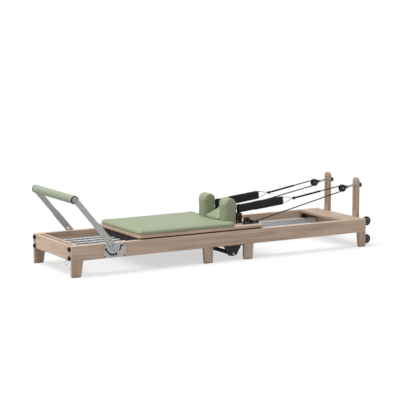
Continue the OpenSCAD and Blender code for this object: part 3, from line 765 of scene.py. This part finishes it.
def hand_loop(side, peg, ring, soft):
    """Flat webbing round the peg, two padded legs, and the link that gathers them at the swivel"""
    along = (ring - peg).normalized()
    across = (Y_AXIS - Y_AXIS.dot(along) * along).normalized()
    up = along.cross(across)
    if up.z < 0:
        up = -up
    length = 358 * MM
    bend = 14 * MM

    def at(run, off, rise=0.0):
        return peg + run * along + off * across + rise * up

    def leg_offset(run):
        share = max(0.0, run / length)
        wobble = 0.8 * MM * math.sin(run / (23 * MM))
        return bend + (6.5 * MM - bend) * share + wobble * min(1, share * 4)

    runs = [length - 8 * MM * k for k in range(44)]
    outline = [at(run, leg_offset(run)) for run in runs]
    for k in range(13):
        angle = math.radians(90 + 180 * k / 12)
        outline.append(at(bend * math.cos(angle), bend * math.sin(angle)))
    outline += [at(run, -leg_offset(run)) for run in reversed(runs)]
    # Fold of the webbing over the link at the ring end
    outline += [at(length + 5 * MM, -4 * MM), at(length + 7 * MM, 0), at(length + 5 * MM, 4 * MM)]
    flat = rounded_box(26.5 * MM, 1.5 * MM, 1.0 * MM)
    band = sweep(outline, up, lambda i, t: flat, closed=True)
    soft(piece(f"{side}_loop_webbing", *band, webbing_black, "webbing"))

    sleeve_start = 116 * MM
    for name, sign in (("inner", -1), ("outer", 1)):
        path = []
        for k in range(100):
            run = sleeve_start + (length - 4 * MM - sleeve_start) * k / 99
            path.append(at(run, sign * (leg_offset(run) + 0.5 * MM)))

        def padded(i, t, sign=sign):
            end = min(1.0, min(t, 1 - t) * 16)
            tuck = math.sqrt(max(0.0, 1 - (1 - end) ** 2))
            tall = (27 + 2.0 * tuck) * MM
            thick = (2.2 + 2.8 * tuck) * MM
            points = []
            for k in range(28):
                angle = TAU * k / 28
                c, s = math.cos(angle), math.sin(angle)
                a = tall * math.copysign(abs(c) ** 0.4, c)
                b = thick * math.copysign(abs(s) ** 0.75, s)
                fluff = 0.9 * MM * noise.noise(Vector((i * 0.45, 3 * c + sign * 7, 3 * s)))
                points.append((a + fluff * c, b + fluff * s))
            return points

        sleeve = piece(f"{side}_loop_sleeve_{name}", *sweep(path, up, padded), fleece_black, "webbing")
        soft(sleeve)

    tip = ring - 12 * MM * along
    base = length + 1 * MM
    corners = [tip + 2 * MM * up, at(base + 6 * MM, 0, 23 * MM), at(base, 0, 25 * MM), at(base, 0, -25 * MM),
               at(base + 6 * MM, 0, -23 * MM), tip - 2 * MM * up]
    link_path = []
    for start, end in zip(corners, corners[1:] + corners[:1]):
        link_path += line(start, end, 9)[:-1]
    link = sweep(link_path, across, lambda i, t: circle(1.9 * MM, 8), closed=True)
    soft(piece(f"{side}_loop_link", *link, black_plastic, "webbing"))


def rope_cleat(side):
    """Base plate, two toothed cams, fairlead and the coiled rope tail"""
    sign = SIDES[side]
    low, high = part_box("rope_cleats")
    y = sign * (high.y - 17 * MM)
    floor = low.z
    cam_half_gap = 11.5 * MM
    plate = rounded_box((high.x - low.x) / 2, 17 * MM, 9 * MM, 6)
    centre = Vector(((low.x + high.x) / 2, y, floor))
    rings = []
    for inset, z in ((0, 0), (0, 4 * MM), (1.5 * MM, 6 * MM)):
        rings.append([centre + Vector((a - math.copysign(inset, a), b - math.copysign(inset, b), z))
                      for a, b in plate])
    shapes = [loft(rings)]
    cam_x = low.x + 78 * MM
    for turn in (-1, 1):
        profile_rings = []
        hub = Vector((cam_x, y + turn * cam_half_gap, 0))
        for z, scale in ((6, 0.9), (8, 1.0), (24, 1.0), (26, 0.9)):
            ring = []
            for k in range(48):
                angle = TAU * k / 48
                tooth = 0.7 * MM * (k % 4 < 2)
                r = (9.5 * MM + 2.5 * MM * math.cos(angle) - tooth) * scale
                ring.append(Vector((hub.x + r * math.cos(angle), hub.y + 0.6 * r * math.sin(angle),
                                    floor + z * MM)))
            profile_rings.append(ring)
        shapes.append(loft(profile_rings))
    arch = []
    for k in range(17):
        angle = math.pi * k / 16
        arch.append(Vector((high.x - 9 * MM, y + 11 * MM * math.cos(angle),
                            floor + 5 * MM + 17 * MM * math.sin(angle))))
    shapes.append(sweep(arch, X_AXIS, lambda i, t: rounded_box(5 * MM, 2.2 * MM, 1.2 * MM)))
    body = piece(f"{side}_cleat", *merge(*shapes), black_plastic, "black_plastic")
    add_bevel(body, 0.5 * MM)
    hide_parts("rope_cleats")
    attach(body, "carriage")

    bolts = []
    for turn in (-1, 1):
        head = [(0.3, 26), (5.2, 26), (5.2, 28.5), (3.8, 30), (0.3, 30)]
        where = Vector((cam_x, y + turn * cam_half_gap, floor))
        bolts.append(lathe([(r * MM, a * MM) for r, a in head], where, Z_AXIS, 20))
    caps = piece(f"{side}_cleat_bolts", *merge(*bolts), zinc, "zinc_steel")
    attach(caps, "carriage")

    path = []
    for k in range(260):
        t = k / 259
        angle = TAU * 5.4 * t
        path.append(Vector((low.x + 34 * MM + (27 - 8 * t) * MM * math.cos(angle),
                            y + (13 - 3 * t) * MM * math.sin(angle),
                            floor + (10 + 33 * t + 2.5 * math.sin(2 * angle)) * MM)))
    # Straight part of the tail, from the coil through the cams
    tail_end = Vector((high.x - 14 * MM, y, floor + 12 * MM))
    path += line(path[-1], tail_end, 44)[1:]
    tail = piece(f"{side}_rope_tail", *sweep(path, Z_AXIS, braid(3.6 * MM)), rope_black, "webbing")
    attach(tail, "carriage")


# ---------------------------------------------------------------- wheels and hardware


def mirrored(profile):
    """(radius, along) profile of one side of a wheel, followed by its mirror image"""
    return profile + [(r, -a) for r, a in reversed(profile)]


def transport_wheel(side, level):
    """Black tyre with a shoulder groove on a dished grey hub"""
    node = f"{side}_{level}_wheel"
    low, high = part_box(node)
    centre = (low + high) / 2
    radius = (high.z - low.z) / 2
    half = (high.y - low.y) / 2
    rim = radius * 0.66
    tyre = mirrored([(rim, -8), (radius - 5 * MM, -9.5), (radius - 2 * MM, -8.5), (radius - 0.4 * MM, -5.5),
                     (radius, -2.2), (radius - 1 * MM, -1.2)])
    shape = lathe([(r, a * MM) for r, a in tyre], centre, Y_AXIS, 64)
    rubber = piece(f"{node}_tyre", *shape, black_rubber, "tyre_rubber")
    shade(rubber)
    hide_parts(node)
    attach(rubber, f"{side}_{level}_transport_wheel")
    bore = 5.06 * MM
    hub = mirrored([(bore, -half), (9 * MM, -half), (10 * MM, -half + 1 * MM), (12 * MM, -7 * MM),
                    (rim - 3 * MM, -5.5 * MM), (rim - 1 * MM, -8.4 * MM), (rim + 0.4 * MM, -8.4 * MM)])
    disc = piece(f"{node}_hub", *lathe(hub, centre, Y_AXIS, 48), hub_grey, "tyre_rubber")
    shade(disc)
    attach(disc, f"{side}_{level}_transport_wheel")


def two_tone(name, second, test):
    """Gives the faces of a CAD node that pass the test a second material"""
    mesh = frame["nodes"][name].data
    mesh.materials.append(second)
    for face in mesh.polygons:
        if test(face.center):
            face.material_index = 1


def carried_nodes():
    """Materials and softened edges for the CAD nodes that keep their shape"""
    plan = (
        # The first two rows take oak painted lighter and the platform row takes oak painted darker: painted
        # light and shade on those faces.
        (oak_x_painted_light, 2.2, 3, "foot_half_rails head_half_rails carriage_board"),
        (oak_y_painted_light, 2.0, 3, "foot_end_board head_end_beam headrest_board"),
        (oak_platform_painted_shade, 2.0, 3, "rope_end_platform"),
        (oak_z, 2.0, 3, "foot_half_legs head_half_legs rope_posts"),
        (alloy, 0.6, 2, "foot_half_tracks head_half_tracks"),
        (arm_alloy, 0.8, 2, "footbar_arms footbar_tube"),
        (zinc, 0.5, 2, "spring_bar footbar_side_plates footbar_pivot_bolts footbar_end_screws"),
        (zinc, 0.5, 2, "headrest_hinge"),
        (zinc, 0.3, 1, "ring_eye pull_ring near_riser_bolt far_riser_bolt front_wheels rear_wheels"),
        (black_steel, 0.8, 2, "foot_hinge_brackets head_hinge_brackets hinge_tube end_wheel_brackets"),
        (black_steel, 0.8, 2, "carriage_undercarriage shoulder_rest_brackets post_bolts side_plate_screws"),
        (black_rubber, 1.0, 2, "foot_half_leg_pads head_half_leg_pads end_bumpers front_stop_blocks"),
        (black_rubber, 1.0, 2, "rear_stop_blocks footbar_end_rings"),
        (black_plastic, 1.0, 3, "near_riser_knob far_riser_knob near_pulley_block far_pulley_block"),
        (black_plastic, 0.4, 2, "near_sheave far_sheave"),
    )
    for material, bevel, segments, names in plan:
        for name in names.split():
            finish_node(name, material, bevel, segments)
    for side in SIDES:
        sheave = place_of(f"{side}_sheave_spin")

        def plated(p, sheave=sheave):
            shackle = p.x > sheave.x + 42 * MM
            axle = math.hypot(p.x - sheave.x, p.z - sheave.z) < 4.5 * MM and abs(p.y - sheave.y) > 12.2 * MM
            return shackle or axle

        two_tone(f"{side}_pulley_block", zinc, plated)
    pivot = place_of("footbar_tilt")
    tube_low, tube_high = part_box("footbar_tube")
    bar = (tube_low + tube_high) / 2
    arm_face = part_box("footbar_arms")[1].y
    lean = (bar - pivot).normalized()

    # Faces inside the arm, the walls of the bar socket and of the slot, get black powder coat: painted shade
    # in these recesses.
    def painted_shade_recess(p):
        hidden = abs(p.y) < arm_face - 1.1 * MM
        socket = math.hypot(p.x - bar.x, p.z - bar.z) < 12.4 * MM
        away = Vector((p.x - pivot.x, 0, p.z - pivot.z))
        along = away.dot(lean)
        across = (away - along * lean).length
        slot = across < 4.4 * MM and 31 * MM < along < 57 * MM
        return hidden and (socket or slot)

    two_tone("footbar_arms", black_steel, painted_shade_recess)
    pin_start = 301.2 * MM
    two_tone("hinge_tube", zinc, lambda p: abs(p.y) > pin_start)
    bolt_start = 175.2 * MM
    bolt_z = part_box("shoulder_rest_brackets")[0].z
    rest_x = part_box("near_shoulder_rest")[1].x
    two_tone("shoulder_rest_brackets", zinc,
             lambda p: abs(p.y) > bolt_start and p.z < bolt_z + 22 * MM and p.x < rest_x + 24 * MM)


def dust_strips():
    """Black skirts under the long edges of the carriage board, inside the side rails"""
    low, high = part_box("carriage_board")
    depth, thickness, inset, short = 34 * MM, 3 * MM, 44 * MM, 30 * MM
    outline = rounded_box(depth / 2, thickness / 2, 1 * MM)
    shapes = []
    for sign in SIDES.values():
        start = Vector((low.x + short, sign * (high.y - inset), low.z - depth / 2 - 0.2 * MM))
        end = Vector((high.x - short, start.y, start.z))
        shapes.append(sweep(line(start, end, 60), Z_AXIS, lambda i, t: outline))
    skirts = piece("board_skirts", *merge(*shapes), black_rubber, "black_rubber")
    shade(skirts)
    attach(skirts, "carriage")


def plate_painted_shade():
    """Black sheet behind the cuts of the notched side plates: painted shade that darkens the cuts"""
    low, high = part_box("footbar_side_plates")
    plate = 5 * MM
    outline = rounded_box((high.x - low.x) / 2 - 3 * MM, (high.z - low.z) / 2 - 3 * MM, 6 * MM)
    shapes = []
    for sign in SIDES.values():
        inner = Vector(((low.x + high.x) / 2, sign * (high.y - plate), (low.z + high.z) / 2))
        rings = []
        for inset, out in ((0, 0.1), (0, 0.7), (0.4, 1.1)):
            rings.append([inner + Vector((a - math.copysign(inset * MM, a), sign * out * MM,
                                          b - math.copysign(inset * MM, b))) for a, b in outline])
        shapes.append(loft(rings))
    painted_shade = piece("side_plate_painted_shade", *merge(*shapes), black_rubber, "black_rubber")
    shade(painted_shade)
    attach(painted_shade, "foot_frame")


def bolt_heads():
    """Round socket heads with washers on the wheel brackets"""
    head = [(0.3, 0.3), (7.5, 0.3), (7.5, 1.5), (5, 1.5), (5, 3.6), (4, 4.6), (2.5, 4.6), (2.5, 2.2),
            (0.3, 2.2)]
    profile = [(r * MM, a * MM) for r, a in head]
    low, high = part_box("end_wheel_brackets")
    face = low.x + 5 * MM
    shapes = []
    for sign in SIDES.values():
        for z in (low.z + 86 * MM, low.z + 116 * MM):
            shapes.append(lathe(profile, Vector((face, sign * (high.y - 18 * MM), z)), X_AXIS, 24))
    heads = piece("wheel_bracket_bolts", *merge(*shapes), zinc, "zinc_steel")
    shade(heads)
    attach(heads, "head_frame")


# ---------------------------------------------------------------- floor, light and camera


def white_floor():
    """Floor that the camera sees partly through, so that shadows stay pale; it fades out with distance"""
    size = 30.0
    mesh = bpy.data.meshes.new("floor")
    corners = [(-size, -size), (size, -size), (size, size), (-size, size)]
    mesh.from_pydata([(x, y, -0.5 * MM) for x, y in corners], [], [(0, 1, 2, 3)])
    floor = bpy.data.objects.new("floor", mesh)
    bpy.context.scene.collection.objects.link(floor)
    ground = Look("floor_white", (0.9, 0.9, 0.9, 1), 1.0)
    ground.set("Specular IOR Level", 0.0)
    seen = ground.node("ShaderNodeLightPath").outputs["Is Camera Ray"]
    ground.set("Base Color", ground.mix(seen, (0.5, 0.5, 0.5, 1), (0.92, 0.92, 0.93, 1)))
    away = ground.node("ShaderNodeVectorMath", {0: ground.place}, operation="LENGTH").outputs["Value"]
    fade_start, fade_end, clear_near = 1.3, 3.2, 0.6
    fade = {"Value": away, "From Min": fade_start, "From Max": fade_end, "To Min": clear_near, "To Max": 1.0}
    clear = ground.multiply(ground.node("ShaderNodeMapRange", fade).outputs["Result"], seen)
    through = ground.node("ShaderNodeBsdfTransparent").outputs[0]
    both = ground.node("ShaderNodeMixShader", {0: clear, 1: ground.shader.outputs[0], 2: through})
    ground.tree.links.new(both.outputs[0], ground.tree.nodes["Material Output"].inputs["Surface"])
    mesh.materials.append(ground.material)


def surroundings():
    """White studio: even light all round, whiter in reflections, and a broad key nearly overhead"""
    white_floor()
    world = bpy.data.worlds.new("studio")
    world.use_nodes = True
    nodes, links = world.node_tree.nodes, world.node_tree.links
    path = nodes.new("ShaderNodeLightPath")
    light = nodes["Background"]
    light.inputs["Color"].default_value = (0.98, 0.99, 1.0, 1)
    light.inputs["Strength"].default_value = 0.39
    for ray, strength in (("Is Glossy Ray", 0.75), ("Is Camera Ray", 1.0)):
        seen = nodes.new("ShaderNodeBackground")
        seen.inputs["Color"].default_value = (1, 1, 1, 1)
        seen.inputs["Strength"].default_value = strength
        choice = nodes.new("ShaderNodeMixShader")
        links.new(path.outputs[ray], choice.inputs[0])
        links.new(light.outputs[0], choice.inputs[1])
        links.new(seen.outputs[0], choice.inputs[2])
        light = choice
    links.new(light.outputs[0], nodes["World Output"].inputs["Surface"])
    bpy.context.scene.world = world
    bpy.context.scene.view_settings.view_transform = "Standard"

    sun = bpy.data.lights.new("key", "SUN")
    sun.energy = 2.9
    sun.angle = math.radians(55)
    sun.color = (1.0, 0.99, 0.97)
    key = bpy.data.objects.new("key", sun)
    key.rotation_euler = Vector((-0.36, 0.06, 0.93)).to_track_quat("Z", "Y").to_euler()
    bpy.context.scene.collection.objects.link(key)


def camera():
    """Stands off the near side of the foot end, a little above the machine"""
    lens = bpy.data.cameras.new("camera")
    lens.sensor_width = 36
    lens.lens = 132.75
    lens.clip_end = 100
    eye = bpy.data.objects.new("camera", lens)
    eye.location = (-5.2221, -8.8916, 1.8900)
    look_down, turn = 8.294, -30.081
    eye.rotation_euler = (math.radians(90 - look_down), 0, math.radians(turn))
    bpy.context.scene.collection.objects.link(eye)
    bpy.context.scene.camera = eye


carried_nodes()
seat_pad()
for side_name in SIDES:
    shoulder_rest(side_name)
    ropes(side_name)
    rope_cleat(side_name)
    for wheel_level in ("upper", "lower"):
        transport_wheel(side_name, wheel_level)
headrest_pillow()
bar_grip()
coil_springs()
dust_strips()
plate_painted_shade()
bolt_heads()
surroundings()
camera()
